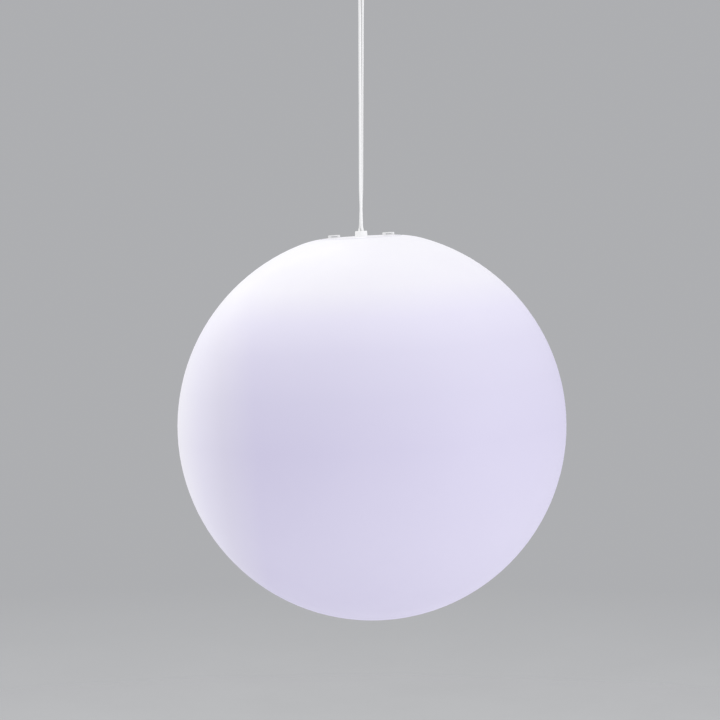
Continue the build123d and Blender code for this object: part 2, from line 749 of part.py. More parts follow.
with BuildPart() as relief_wedge:
    with BuildSketch(globe.offset(relief_mouth_h - SLIP_FIT)):
        with Locations((0, wedge_far - WEDGE_WALL / 2)):
            Rectangle(WEDGE_WIDTH, WEDGE_WALL)
    extrude(amount=relief_tip_h - relief_mouth_h)
relief_wedge.part.label = "relief_wedge"

with BuildPart() as relief_seal:
    extrude(
        rings(globe.offset(flat_h), SEAL_DIA / 2, RELIEF_NECK_DIA / 2 + SLIP_FIT), amount=SEAL_WALL
    )
relief_seal.part.label = "relief_seal"

with BuildPart() as cord_inner:
    inner_end_h = nipple_end_h - SEAL_WALL
    extrude(twin(globe.offset(relief_mouth_h)), amount=inner_end_h - relief_mouth_h)
cord_inner.part.label = "cord_inner"

# ================================================================ lamp holder

nipple_r = NIPPLE_DIA / 2
holder_r = HOLDER_DIA / 2
holder_in_r = holder_r - HOLDER_WALL
neck_end_h = holder_top_h - HOLDER_NECK
shoulder_end_h = neck_end_h - HOLDER_SHOULDER
seat_r = SOCKET_FLANGE_DIA / 2 + SOCKET_FLANGE_GAP  # the skirt's rim under the ceramic base
socket_r = SOCKET_BORE / 2 + SOCKET_WALL

with BuildPart() as nipple:
    extrude(rings(globe.offset(ledge_under_h), nipple_r, NIPPLE_BORE / 2), amount=-NIPPLE_LENGTH)
nipple.part.label = "nipple"

with BuildPart() as nipple_nut:
    extrude(nut(globe.offset(bar_under_h), nipple_r + THREAD_FIT), amount=-NUT_WALL)
nipple_nut.part.label = "nipple_nut"

with BuildPart() as holder_cap:
    revolve(
        turned(
            globe_section,
            (nipple_r + THREAD_FIT, holder_top_h),
            (HOLDER_NECK_DIA / 2, holder_top_h, HOLDER_EDGE),
            (HOLDER_NECK_DIA / 2, neck_end_h, HOLDER_EDGE),
            (holder_r, shoulder_end_h, HOLDER_EDGE * 2),
            (holder_r, holder_mid_h),
            (holder_in_r, holder_mid_h),
            (holder_in_r, shoulder_end_h - HOLDER_WALL, HOLDER_EDGE),
            (nipple_r + THREAD_FIT, nipple_end_h - SEAL_WALL / 2),
        ),
        axis=globe_axis,
    )
holder_cap.part.label = "holder_cap"

with BuildPart() as holder_base:
    extrude(rings(globe.offset(holder_mid_h), holder_in_r - SLIP_FIT), amount=BASE_WALL)
holder_base.part.label = "holder_base"

post_spots = [(-POST_SPACING / 2, 0), (POST_SPACING / 2, 0)]
post_screw_spot = [(0, (base_top_h + lead_run + post_top_h) / 2)]
post_out = (POST_SPACING + POST_DIA) / 2
across = Plane(origin=globe_centre, x_dir=globe.y_dir, z_dir=globe.x_dir)
with BuildPart() as holder_terminals:
    # brass posts with a blind hole for each lead, and a clamping screw's hole from outside
    extrude(rings(globe.offset(base_top_h), POST_DIA / 2, spots=post_spots), amount=POST_HEIGHT)
    extrude(
        rings(globe.offset(post_top_h), lead_bore_r, spots=post_spots),
        amount=lead_run - SLIP_FIT - POST_HEIGHT,
        mode=Mode.SUBTRACT,
    )
    for outward in (-1, 1):
        extrude(
            rings(
                across.offset(outward * POST_SPACING / 2),
                POST_SCREW_DIA / 2 + THREAD_FIT,
                spots=post_screw_spot,
            ),
            amount=outward * POST_DIA / 2,
            mode=Mode.SUBTRACT,
        )
holder_terminals.part.label = "holder_terminals"

with BuildPart() as post_screws:
    for outward in (-1, 1):
        tip = POST_SPACING / 2 + lead_bore_r
        extrude(
            rings(across.offset(outward * tip), POST_SCREW_DIA / 2, spots=post_screw_spot),
            amount=outward * (post_out + POST_SCREW_HEAD - tip),
        )
post_screws.part.label = "post_screws"

with BuildPart() as screw_shell:
    revolve(
        turned(
            globe_section,
            (SOCKET_BORE / 2, holder_mid_h),
            (SOCKET_FLANGE_DIA / 2, holder_mid_h),
            (SOCKET_FLANGE_DIA / 2, holder_mid_h - SOCKET_WALL),
            (socket_r, holder_mid_h - SOCKET_WALL),
            (socket_r, holder_mid_h - SOCKET_LENGTH),
            (SOCKET_BORE / 2, holder_mid_h - SOCKET_LENGTH),
        ),
        axis=globe_axis,
    )
screw_shell.part.label = "screw_shell"

with BuildPart() as centre_contact:
    extrude(rings(globe.offset(holder_mid_h), PLUNGER_DIA / 2), amount=-PLUNGER_LENGTH)
centre_contact.part.label = "centre_contact"

with BuildPart() as holder_skirt:
    revolve(
        turned(
            globe_section,
            (seat_r, holder_mid_h),
            (holder_r, holder_mid_h),
            (holder_r, skirt_end_h, HOLDER_EDGE),
            (SKIRT_MOUTH_DIA / 2, skirt_end_h),
            (SKIRT_MOUTH_DIA / 2, skirt_end_h + HOLDER_WALL),
            (holder_in_r, skirt_end_h + HOLDER_WALL),
            (holder_in_r, holder_mid_h - HOLDER_WALL),
            (seat_r, holder_mid_h - HOLDER_WALL),
        ),
        axis=globe_axis,
    )
holder_skirt.part.label = "holder_skirt"

# ================================================================ lamp

lamp_cap_r = LAMP_CAP_DIA / 2
lamp_cap_in_r = lamp_cap_r - LAMP_CAP_WALL
plug_r = lamp_cap_in_r - SLIP_FIT
lamp_r = LAMP_DIA / 2
lamp_in_r = lamp_r - LAMP_WALL

with BuildPart() as lamp_contact:
    extrude(rings(globe.offset(insulator_h), PIP_DIA / 2), amount=PIP_HEIGHT)
lamp_contact.part.label = "lamp_contact"

with BuildPart() as lamp_insulator:
    revolve(
        turned(
            globe_section,
            (0, insulator_h),
            (PIP_DIA / 2, insulator_h),
            (plug_r, lamp_cap_top_h),
            (plug_r, lamp_cap_top_h - LAMP_INSULATOR_WALL),
            (0, lamp_cap_top_h - LAMP_INSULATOR_WALL),
        ),
        axis=globe_axis,
    )
lamp_insulator.part.label = "lamp_insulator"

with BuildPart() as lamp_cap:
    extrude(rings(globe.offset(lamp_cap_end_h), lamp_cap_r, lamp_cap_in_r), amount=LAMP_CAP_LENGTH)
lamp_cap.part.label = "lamp_cap"

with BuildPart() as lamp_housing:
    plug_in_r = plug_r - LAMP_WALL
    revolve(
        turned(
            globe_section,
            (plug_in_r, lamp_cap_end_h + LAMP_PLUG),
            (plug_r, lamp_cap_end_h + LAMP_PLUG),
            (plug_r, lamp_cap_end_h),
            (LAMP_NECK_DIA / 2, lamp_cap_end_h),
            (lamp_r, flare_end_h),
            (lamp_r, lamp_rim_h),
            (lamp_in_r, lamp_rim_h),
            (lamp_in_r, board_h),
            (plug_in_r, lamp_cap_end_h),
        ),
        axis=globe_axis,
    )
lamp_housing.part.label = "lamp_housing"

with BuildPart() as led_board:
    extrude(rings(globe.offset(board_h), lamp_in_r - SLIP_FIT), amount=-BOARD_WALL)
led_board.part.label = "led_board"

with BuildPart() as led_chips:
    with BuildSketch(globe.offset(board_h - BOARD_WALL)):
        with PolarLocations(CHIP_CIRCLE / 2, CHIP_COUNT):
            Rectangle(CHIP_SIDE, CHIP_SIDE)
    extrude(amount=-CHIP_HEIGHT)
led_chips.part.label = "led_chips"

with BuildPart() as driver_board:
    with BuildSketch(globe.offset(board_h)):
        Rectangle(DRIVER_WIDTH, BOARD_WALL)
    extrude(amount=DRIVER_LENGTH)
driver_board.part.label = "driver_board"

with BuildPart() as driver_parts:
    # a transformer on one face of the board and a capacitor on the other
    with BuildSketch(globe.offset(board_h + DRIVER_LENGTH / 6)):
        with Locations((0, BOARD_WALL / 2 + DRIVER_WIDTH / 5)):
            Rectangle(DRIVER_WIDTH / 2, DRIVER_WIDTH / 2.5)
        with Locations((0, -BOARD_WALL / 2 - DRIVER_WIDTH / 5)):
            Circle(DRIVER_WIDTH / 5)
    extrude(amount=DRIVER_LENGTH / 3)
driver_parts.part.label = "driver_parts"

with BuildPart() as lamp_diffuser:
    dome_h = lamp_rim_h - DIFFUSER_STRAIGHT
    dome_in_r = lamp_r - DIFFUSER_WALL
    half_turn = math.sqrt(0.5)
    with BuildSketch(globe_section):
        with BuildLine():
            Line((lamp_r, lamp_rim_h), (lamp_r, dome_h))
            ThreePointArc(
                (lamp_r, dome_h),
                (lamp_r * half_turn, dome_h - lamp_r * half_turn),
                (0, dome_h - lamp_r),
            )
            Line((0, dome_h - lamp_r), (0, dome_h - dome_in_r))
            ThreePointArc(
                (0, dome_h - dome_in_r),
                (dome_in_r * half_turn, dome_h - dome_in_r * half_turn),
                (dome_in_r, dome_h),
            )
            Line((dome_in_r, dome_h), (dome_in_r, lamp_rim_h))
            Line((dome_in_r, lamp_rim_h), (lamp_r, lamp_rim_h))
        make_face()
    revolve(axis=globe_axis)
lamp_diffuser.part.label = "lamp_diffuser"

# ================================================================ write the pieces

pieces = [
    mounting_bracket,
    canopy,
    canopy_screws,
    cord_grip,
    grip_nut,
    grip_cap,
    grip_collet,
    cord_head,
    terminal_block,
    terminal_tubes,
    terminal_screws,
    block_screw,
    *leads,
    cord_top,
    cord,
    cord_tail,
    globe_shell,
    cover_plate,
    cover_gasket,
    clamp_bar,
    cover_screws,
    screw_washers,
    strain_relief,
    relief_wedge,
    relief_seal,
    cord_inner,
    nipple,
    nipple_nut,
    holder_cap,
    holder_base,
    holder_terminals,
    post_screws,
    screw_shell,
    centre_contact,
    holder_skirt,
    lamp_contact,
    lamp_insulator,
    lamp_cap,
    lamp_housing,
    led_board,
    led_chips,
    driver_board,
    driver_parts,
    lamp_diffuser,
]
os.makedirs("parts", exist_ok=True)
for piece in pieces:
    export_step(piece.part, f"parts/{piece.part.label}.step")

print(f"free cord {CORD_FREE:.1f} mm, straight; whole cord to the lamp holder "
      f"{cord_head_z - relief_mouth_z + relief_mouth_h - inner_end_h:.1f} mm")
print(f"hinge heights: swing_side {swing_side_z:.2f}, swing_fore {swing_fore_z:.2f}, "
      f"turn {turn_z:.2f}, rock {rock_z:.2f}; globe centre "
      f"{globe_centre.X:.2f}, {globe_centre.Y:.2f}, {globe_centre.Z:.2f}")
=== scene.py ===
"""The looks of the hanging garden globe light: its twin cord, materials, camera and studio."""

import math

import bpy
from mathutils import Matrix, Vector


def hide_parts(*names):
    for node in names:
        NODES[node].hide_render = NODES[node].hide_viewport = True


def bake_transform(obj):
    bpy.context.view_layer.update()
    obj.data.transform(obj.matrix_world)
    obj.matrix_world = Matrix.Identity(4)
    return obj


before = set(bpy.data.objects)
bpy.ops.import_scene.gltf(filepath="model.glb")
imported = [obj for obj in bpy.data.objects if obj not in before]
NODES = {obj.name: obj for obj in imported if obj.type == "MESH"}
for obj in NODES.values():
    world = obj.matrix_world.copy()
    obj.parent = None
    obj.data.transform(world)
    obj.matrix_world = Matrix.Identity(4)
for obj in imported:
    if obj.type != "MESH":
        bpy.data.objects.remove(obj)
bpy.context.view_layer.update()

# places are in the row frame, and lengths are in metres where nothing else is said

# ---------------------------------------------------------------- camera

GLOBE_CENTRE = Vector((0.0112, 0.0, -0.4902))
GLOBE_R = 0.2
CROWN_Z = -0.2958  # the middle of the globe's flattened crown
LEAN = math.radians(3.2)  # the globe's lean about the Y axis
CAMERA_DISTANCE = 1.9
CAMERA_ABOVE_CROWN = 0.053
AIM = Vector((-0.00106, 0.0, -0.4226))  # what the middle of the picture looks at
LENS = 92.61  # millimetres
SENSOR_WIDTH = 36.0  # millimetres
NEAREST_SEEN = 0.05
FARTHEST_SEEN = 60.0

camera_data = bpy.data.cameras.new("camera")
camera_data.lens = LENS
camera_data.sensor_width = SENSOR_WIDTH
camera_data.clip_start = NEAREST_SEEN
camera_data.clip_end = FARTHEST_SEEN
camera = bpy.data.objects.new("camera", camera_data)
bpy.context.scene.collection.objects.link(camera)
camera.location = Vector((AIM.x, -CAMERA_DISTANCE, CROWN_Z + CAMERA_ABOVE_CROWN))
camera.rotation_mode = "QUATERNION"
camera.rotation_quaternion = (AIM - camera.location).to_track_quat("-Z", "Y")
bpy.context.scene.camera = camera
bpy.context.scene.view_settings.view_transform = "Standard"

# ---------------------------------------------------------------- the twin cord

CORE_R = 0.00145
CORE_HALF_PITCH = 0.0014
GROOVE_SHADE_REACH = 0.0010  # painted shade greys the groove as far as this from the cord's middle

# heights on the cord, from the ceiling down
GRIP_MOUTH = -0.038
UPPER_MEET = -0.0441  # where the two pieces of the cord's top meet
MIDDLE_MEET = -0.0520  # where the cord's top meets the straight cord
LOWER_MEET = -0.2840  # where the straight cord meets the cord's foot
GLOBE_ROCK = -0.28809
RELIEF_MOUTH = -0.290

IN_GRIP = 0.0015  # how far the cord's mesh goes on inside the grip
IN_RELIEF = 0.0012  # and inside the strain relief
LEAN_BELOW_ROCK = 0.0016  # from here down the cord follows the globe's lean

MAIN_SPACING = 0.0010
BEND_SPACING = 0.0005
FOOT_SPACING = 0.0004

# height and the cord's twist there in degrees: half a turn, most of it near the globe
TWIST = [
    (-0.030, 0.0),
    (-0.050, 0.0),
    (-0.075, 30.0),
    (-0.115, 37.0),
    (-0.155, 49.0),
    (-0.200, 56.0),
    (-0.246, 63.0),
    (-0.260, 82.0),
    (-0.270, 93.0),
    (-0.279, 106.0),
    (-0.286, 122.0),
    (-0.2903, 180.0),
    (-0.2906, 180.0),
    (-0.300, 180.0),
]


def twist_at(z):
    """The cord's twist at a height, smoothly between the entries of TWIST, which go downwards."""
    if z >= TWIST[0][0]:
        return TWIST[0][1]
    for i in range(len(TWIST) - 1):
        (z0, v0), (z1, v1) = TWIST[i], TWIST[i + 1]
        if z >= z1:
            before = TWIST[max(i - 1, 0)]
            after = TWIST[min(i + 2, len(TWIST) - 1)]
            step = z0 - z1
            t = (z0 - z) / step
            m0 = (v1 - before[1]) / (before[0] - z1) * step
            m1 = (after[1] - v0) / (z0 - after[0]) * step
            return (
                (2 * t**3 - 3 * t**2 + 1) * v0
                + (t**3 - 2 * t**2 + t) * m0
                + (-2 * t**3 + 3 * t**2) * v1
                + (t**3 - t**2) * m1
            )
    return TWIST[-1][1]


def route_points(name, points):
    """The points along a straight-running cord's route, read from its own curve."""
    curve = bpy.data.curves.new(name, "CURVE")
    curve.dimensions = "3D"
    spline = curve.splines.new("NURBS")
    spline.points.add(len(points) - 1)
    for spot, point in zip(spline.points, points):
        spot.co = (*point, 1.0)
    spline.order_u = 3
    spline.use_endpoint_u = True
    spline.resolution_u = 6
    holder = bpy.data.objects.new(name, curve)
    line = bpy.data.meshes.new_from_object(holder)
    found = [vertex.co.copy() for vertex in line.vertices]
    bpy.data.objects.remove(holder)
    bpy.data.curves.remove(curve)
    bpy.data.meshes.remove(line)
    return found


def cord_outline(steps=18, groove_steps=6, web=0.00030, groove_start=0.20):
    """The figure-of-eight section, wide along x, with a rounded groove on each side.

    Each point is x, y and how much painted shade it gets in the groove, from 0 to 1. A
    groove starts short of where the two cores cross, by groove_start in radians, and web is
    half the cord's thickness at its bottom.
    """
    cut = math.acos(CORE_HALF_PITCH / CORE_R) + groove_start
    half = []
    for i in range(steps + 1):
        a = -(math.pi - cut) + 2 * (math.pi - cut) * i / steps
        x, y = CORE_HALF_PITCH + CORE_R * math.cos(a), CORE_R * math.sin(a)
        half.append((x, y, max(0.0, 1.0 - x / GROOVE_SHADE_REACH) if abs(a) > math.pi / 2 else 0.0))
    edge_x, edge_y = half[-1][:2]
    for i in range(1, groove_steps):
        across = 2 * i / groove_steps - 1
        half.append((-edge_x * across, web + (edge_y - web) * across**2, 1.0))
    return half + [(-x, -y, painted_groove_shade) for x, y, painted_groove_shade in half]


OUTLINE = cord_outline()


def cord_mesh(name, start, end, spacing, lean_from=None):
    """A length of the twin cord down the Z axis from start to end.

    Below lean_from it follows the globe's lean.
    """
    count = max(4, round((start - end) / spacing))
    vertices = []
    for i in range(count + 1):
        z = start + (end - start) * i / count
        turn = math.radians(twist_at(z))
        cos, sin = math.cos(turn), math.sin(turn)
        shift = 0.0
        if lean_from is not None and z < lean_from:
            shift = (lean_from - z) * math.tan(LEAN)
        vertices += [(x * cos - y * sin + shift, x * sin + y * cos, z) for x, y, _ in OUTLINE]
    n = len(OUTLINE)
    faces = []
    for i in range(count):
        for j in range(n):
            a, b = i * n + j, i * n + (j + 1) % n
            faces.append((a, a + n, b + n, b))
    faces.append(tuple(range(n)))
    faces.append(tuple(count * n + j for j in reversed(range(n))))
    mesh = bpy.data.meshes.new(name)
    mesh.from_pydata(vertices, [], faces)
    mesh.update()
    # painted shade: a weight on each point that greys the groove between the two cores
    painted_groove_shades = mesh.attributes.new("painted_groove_shade", "FLOAT", "POINT")
    painted_groove_shades.data.foreach_set("value", [point[2] for point in OUTLINE] * (count + 1))
    for polygon in mesh.polygons:
        polygon.use_smooth = len(polygon.vertices) == 4
    made = bpy.data.objects.new(name, mesh)
    bpy.context.scene.collection.objects.link(made)
    return made


cord_main = cord_mesh("cord_main", MIDDLE_MEET, LOWER_MEET, MAIN_SPACING)
cord_bend_upper = cord_mesh("cord_bend_upper", GRIP_MOUTH + IN_GRIP, UPPER_MEET, BEND_SPACING)
cord_bend_lower = cord_mesh("cord_bend_lower", UPPER_MEET, MIDDLE_MEET, BEND_SPACING)
cord_foot = cord_mesh(
    "cord_foot",
    LOWER_MEET,
    RELIEF_MOUTH - IN_RELIEF,
    FOOT_SPACING,
    GLOBE_ROCK - LEAN_BELOW_ROCK,
)

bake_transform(cord_bend_upper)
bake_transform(cord_bend_lower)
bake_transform(cord_main)
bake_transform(cord_foot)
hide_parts("cord")
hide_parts("cord_top")
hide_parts("cord_tail")

ROUTE_STEPS = 8
route = route_points(
    "cord_route",
    [
        (0, 0, MIDDLE_MEET + (LOWER_MEET - MIDDLE_MEET) * i / ROUTE_STEPS)
        for i in range(ROUTE_STEPS + 1)
    ],
)

# ---------------------------------------------------------------- node trees


class Tree:
    """A node tree, with short calls to add to it."""

    def __init__(self, tree):
        self.tree = tree
        self.tree.nodes.clear()

    def add(self, kind, **values):
        """A new node with some of its settings."""
        node = self.tree.nodes.new(kind)
        for key, value in values.items():
            setattr(node, key, value)
        return node

    def link(self, source, target):
        """Join an output to an input."""
        self.tree.links.new(source, target)

    def feed(self, socket, value):
        """Give an input a number, a colour or another node's output."""
        if isinstance(value, (int, float)):
            socket.default_value = value
        elif isinstance(value, tuple):
            socket.default_value = (*value, 1.0)
        else:
            self.link(value, socket)

    def math(self, operation, a, b=0.0):
        """Do arithmetic on one or two values."""
        node = self.add("ShaderNodeMath", operation=operation)
        self.feed(node.inputs[0], a)
        self.feed(node.inputs[1], b)
        return node.outputs["Value"]

    def mix_shaders(self, factor, first, second):
        """The first shader where the factor is 0 and the second where it is 1."""
        node = self.add("ShaderNodeMixShader")
        self.link(factor, node.inputs["Fac"])
        self.link(first, node.inputs[1])
        self.link(second, node.inputs[2])
        return node.outputs["Shader"]


class Finish(Tree):
    """A material made of a principled shader, with short calls to shape its looks."""

    def __init__(self, name):
        self.material = bpy.data.materials.new(name)
        self.material.use_nodes = True
        super().__init__(self.material.node_tree)
        self.out = self.add("ShaderNodeOutputMaterial")
        self.shader = self.add("ShaderNodeBsdfPrincipled")
        self.link(self.shader.outputs["BSDF"], self.out.inputs["Surface"])
        self.place = self.add("ShaderNodeTexCoord").outputs["Object"]

    def noise(self, scale, detail=3.0, rough=0.5, place=None):
        """Soft noise, scale spots to the metre."""
        node = self.add("ShaderNodeTexNoise")
        self.feed(node.inputs["Scale"], scale)
        self.feed(node.inputs["Detail"], detail)
        self.feed(node.inputs["Roughness"], rough)
        self.link(place or self.place, node.inputs["Vector"])
        return node.outputs["Fac"]

    def ramp(self, source, *stops):
        """Colours between the stops, each a position and a colour."""
        node = self.add("ShaderNodeValToRGB")
        elements = node.color_ramp.elements
        while len(elements) < len(stops):
            elements.new(0.5)
        for element, (position, colour) in zip(elements, stops):
            element.position = position
            element.color = (*colour, 1.0)
        self.link(source, node.inputs["Fac"])
        return node.outputs["Color"]

    def span(self, source, low, high, to_low=0.0, to_high=1.0):
        """Map low to to_low and high to to_high, and stay within those."""
        node = self.add("ShaderNodeMapRange")
        self.feed(node.inputs["From Min"], low)
        self.feed(node.inputs["From Max"], high)
        self.feed(node.inputs["To Min"], to_low)
        self.feed(node.inputs["To Max"], to_high)
        self.link(source, node.inputs["Value"])
        return node.outputs["Result"]

    def mix(self, factor, a, b, blend="MIX"):
        """Mix two colours; 6 and 7 are the node's colour inputs, and 2 is its colour output."""
        node = self.add("ShaderNodeMix", data_type="RGBA", blend_type=blend)
        self.feed(node.inputs["Factor"], factor)
        self.feed(node.inputs[6], a)
        self.feed(node.inputs[7], b)
        return node.outputs[2]

    def bump(self, height, distance):
        """Raise the surface by a height times a distance."""
        node = self.add("ShaderNodeBump")
        self.feed(node.inputs["Strength"], 1.0)
        self.feed(node.inputs["Distance"], distance)
        self.link(height, node.inputs["Height"])
        self.link(node.outputs["Normal"], self.shader.inputs["Normal"])

    def globe_places(self):
        """In the globe's own leaning frame: place to the right, place upwards, distance from the axis."""
        local = self.add("ShaderNodeMapping", vector_type="TEXTURE")
        local.inputs["Location"].default_value = GLOBE_CENTRE
        local.inputs["Rotation"].default_value = (0.0, -LEAN, 0.0)
        self.link(self.place, local.inputs["Vector"])
        parts = self.add("ShaderNodeSeparateXYZ")
        self.link(local.outputs["Vector"], parts.inputs["Vector"])
        flat = self.add("ShaderNodeVectorMath", operation="MULTIPLY")
        flat.inputs[1].default_value = (1.0, 1.0, 0.0)
        self.link(local.outputs["Vector"], flat.inputs[0])
        length = self.add("ShaderNodeVectorMath", operation="LENGTH")
        self.link(flat.outputs["Vector"], length.inputs[0])
        return parts.outputs["X"], parts.outputs["Z"], length.outputs["Value"]

    def set(self, **values):
        """Give the shader's inputs a number, a colour or another node's output."""
        for key, value in values.items():
            self.feed(self.shader.inputs[key.replace("_", " ")], value)


def tinted(colour, factor):
    """A colour made darker or paler."""
    return tuple(min(1.0, c * factor) for c in colour)


# ---------------------------------------------------------------- materials


def plastic(name, colour, rough=0.4, grain=900.0, depth=0.00002, drift=0.05, coat=0.0, painted_glow=0.0):
    """Moulded plastic or rubber: a slow drift of colour, fine specks and a fine grain.

    A glow strength gives the piece painted light: it glows evenly in its own colour, though no lamp
    shines through it.
    """
    m = Finish(name)
    slow = m.ramp(
        m.noise(22.0, 4.0),
        (0.3, tinted(colour, 1 - drift)),
        (0.7, tinted(colour, 1 + drift * 0.4)),
    )
    specks = m.span(m.noise(grain * 1.6, 2.0), 0.62, 0.78, 0.0, 0.35)
    m.set(Base_Color=m.mix(specks, slow, tinted(colour, 0.82)))
    m.set(Roughness=m.span(m.noise(grain * 0.12), 0.3, 0.7, max(0.05, rough - 0.06), rough + 0.08))
    m.set(Coat_Weight=coat)
    # painted light: an even glow in the piece's own colour
    if painted_glow:
        m.set(Emission_Color=slow, Emission_Strength=painted_glow)
    m.bump(m.noise(grain), depth)
    return m.material


def metal(name, colour, rough):
    """Plated or turned metal: fine lines along one way, and dull patches."""
    m = Finish(name)
    stretch = m.add("ShaderNodeMapping")
    stretch.inputs["Scale"].default_value = (1.0, 1.0, 14.0)
    m.link(m.place, stretch.inputs["Vector"])
    lines = m.noise(260.0, 5.0, 0.6, stretch.outputs["Vector"])
    patches = m.noise(45.0, 4.0)
    base = m.ramp(lines, (0.3, tinted(colour, 0.84)), (0.7, tinted(colour, 1.08)))
    m.set(Base_Color=m.mix(m.span(patches, 0.45, 0.75, 0.0, 0.4), base, tinted(colour, 0.72)))
    m.set(Roughness=m.span(patches, 0.3, 0.7, rough - 0.08, rough + 0.14), Metallic=1.0)
    m.bump(lines, 0.00003)
    return m.material


def ceramic(name, colour):
    """Glazed ceramic: faintly clouded, under a clear glossy coat."""
    m = Finish(name)
    m.set(Base_Color=m.ramp(m.noise(60.0, 5.0), (0.35, tinted(colour, 0.93)), (0.65, colour)))
    m.set(Roughness=m.span(m.noise(35.0), 0.3, 0.7, 0.12, 0.26), Coat_Weight=0.4)
    m.bump(m.noise(120.0, 2.0), 0.00005)
    return m.material


def board(name, colour):
    """A circuit board: raised fields with darker lines between them."""
    m = Finish(name)
    cells = m.add("ShaderNodeTexVoronoi", feature="DISTANCE_TO_EDGE")
    m.feed(cells.inputs["Scale"], 260.0)
    m.link(m.place, cells.inputs["Vector"])
    fields = m.span(cells.outputs["Distance"], 0.04, 0.07)
    m.set(Base_Color=m.mix(fields, tinted(colour, 0.6), colour), Roughness=0.4)
    m.bump(fields, 0.00003)
    return m.material


WHITE = (0.62, 0.62, 0.63)
CORD_WHITE = (0.52, 0.52, 0.525)
ZINC = (0.60, 0.61, 0.63)
BRASS = (0.72, 0.53, 0.24)
POLYTHENE_SPECK = (0.44, 0.43, 0.46)

# the shadow line in the gap between the cover and the globe
SEAM_COLOUR = (0.32, 0.31, 0.35)
SEAM_GLOW = (0.17, 0.165, 0.20)
SEAM_DEPTH = 0.7  # how much of those two shows
COVER_SEAM = (0.0400, 0.0409)  # it comes up between these distances from the globe's axis
GLOBE_SEAM = (0.0416, 0.0424)  # and fades out between these
SEAM_HEIGHT = (0.185, 0.186)  # on the globe it keeps above this

# the globe's painted glow, standing in for the lamp's light through it, from its foot, 0, to its top, 1:
# painted light, brightest at the crown and brighter again at the foot than at the middle
PAINTED_GLOW_UPWARDS = (
    (0.0, (0.291, 0.267, 0.419)),
    (0.25, (0.244, 0.223, 0.377)),
    (0.5, (0.166, 0.145, 0.306)),
    (0.62, (0.171, 0.153, 0.305)),
    (0.725, (0.206, 0.190, 0.332)),
    (0.8, (0.272, 0.258, 0.385)),
    (0.875, (0.361, 0.358, 0.415)),
    (0.95, (0.397, 0.398, 0.436)),
)

# painted highlight added to it from the globe's left edge, 0, to its middle, 1
PAINTED_LIGHT_FROM_LEFT = (
    (0.0, (0.222, 0.239, 0.134)),
    (0.08, (0.176, 0.188, 0.113)),
    (0.16, (0.118, 0.126, 0.078)),
    (0.28, (0.049, 0.055, 0.016)),
    (0.45, (0.0, 0.0, 0.0)),
)
# painted glow mixed in where the cloudy swirls lie
CLOUD_PAINTED_GLOW = (0.18, 0.16, 0.31)
# the cover's even painted glow, standing in for the lamp's light through it
COVER_PAINTED_GLOW = (0.395, 0.392, 0.425)


def globe_material():
    """Thick white polythene with the lamp behind it: a lavender white with a painted glow standing in for
    the lamp's light through it, shaped as painted light: brightest near the crown, brighter again at the
    foot and along the left edge, with a painted shadow line under the cover's rim.
    """
    m = Finish("globe_polythene")
    cloud = m.noise(5.5, 3.0, 0.45)
    fine = m.noise(320.0, 4.0, 0.6)
    swirl = m.noise(16.0, 5.0, 0.6)
    base = m.ramp(cloud, (0.25, (0.495, 0.485, 0.505)), (0.75, (0.512, 0.502, 0.520)))
    base = m.mix(m.span(swirl, 0.55, 0.8, 0.0, 0.10), base, (0.46, 0.45, 0.48))
    base = m.mix(m.span(fine, 0.62, 0.80, 0.0, 0.16), base, POLYTHENE_SPECK)
    side, height, radius = m.globe_places()
    # painted glow standing in for the lamp's light through the shell, with painted light brighter at the
    # crown and at the foot
    painted_glow = m.ramp(m.span(height, -GLOBE_R, GLOBE_R), *PAINTED_GLOW_UPWARDS)
    painted_glow = m.mix(m.span(swirl, 0.35, 0.65, 0.0, 0.06), painted_glow, CLOUD_PAINTED_GLOW)
    # painted highlight: the globe is painted brighter towards its left edge
    painted_glow = m.mix(1.0, painted_glow, m.ramp(m.span(side, -GLOBE_R, 0.0), *PAINTED_LIGHT_FROM_LEFT), "ADD")
    seam = m.math("MULTIPLY", m.span(radius, *GLOBE_SEAM, SEAM_DEPTH, 0.0), m.span(height, *SEAM_HEIGHT))
    m.set(Base_Color=m.mix(seam, base, SEAM_COLOUR))
    m.set(Emission_Color=m.mix(seam, painted_glow, SEAM_GLOW), Emission_Strength=1.0)
    m.set(Roughness=m.span(swirl, 0.3, 0.7, 0.46, 0.56), Specular_IOR_Level=0.35)
    m.set(Sheen_Weight=0.12, Sheen_Roughness=0.4)
    m.bump(m.math("ADD", m.math("MULTIPLY", fine, 0.4), swirl), 0.00005)
    return m.material


def cover_material():
    """The globe's cover: the same polythene, with faint turned rings, an even painted glow standing in
    for the lamp's light through it, and a painted shadow line at its rim.
    """
    m = Finish("cover_moulding")
    grain = m.noise(500.0, 4.0, 0.6)
    radius = m.globe_places()[2]
    rings = m.math("SINE", m.math("MULTIPLY", radius, 9000.0))
    seam = m.span(radius, *COVER_SEAM, 0.0, SEAM_DEPTH)
    base = m.ramp(m.noise(40.0), (0.3, (0.485, 0.477, 0.498)), (0.7, (0.500, 0.492, 0.512)))
    base = m.mix(m.span(grain, 0.6, 0.8, 0.0, 0.2), base, POLYTHENE_SPECK)
    m.set(Base_Color=m.mix(seam, base, SEAM_COLOUR))
    m.set(Emission_Color=m.mix(seam, COVER_PAINTED_GLOW, SEAM_GLOW), Emission_Strength=1.0)
    m.set(Roughness=m.span(m.noise(60.0), 0.3, 0.7, 0.42, 0.52))
    m.bump(m.math("ADD", m.math("MULTIPLY", rings, 0.15), grain), 0.00003)
    return m.material


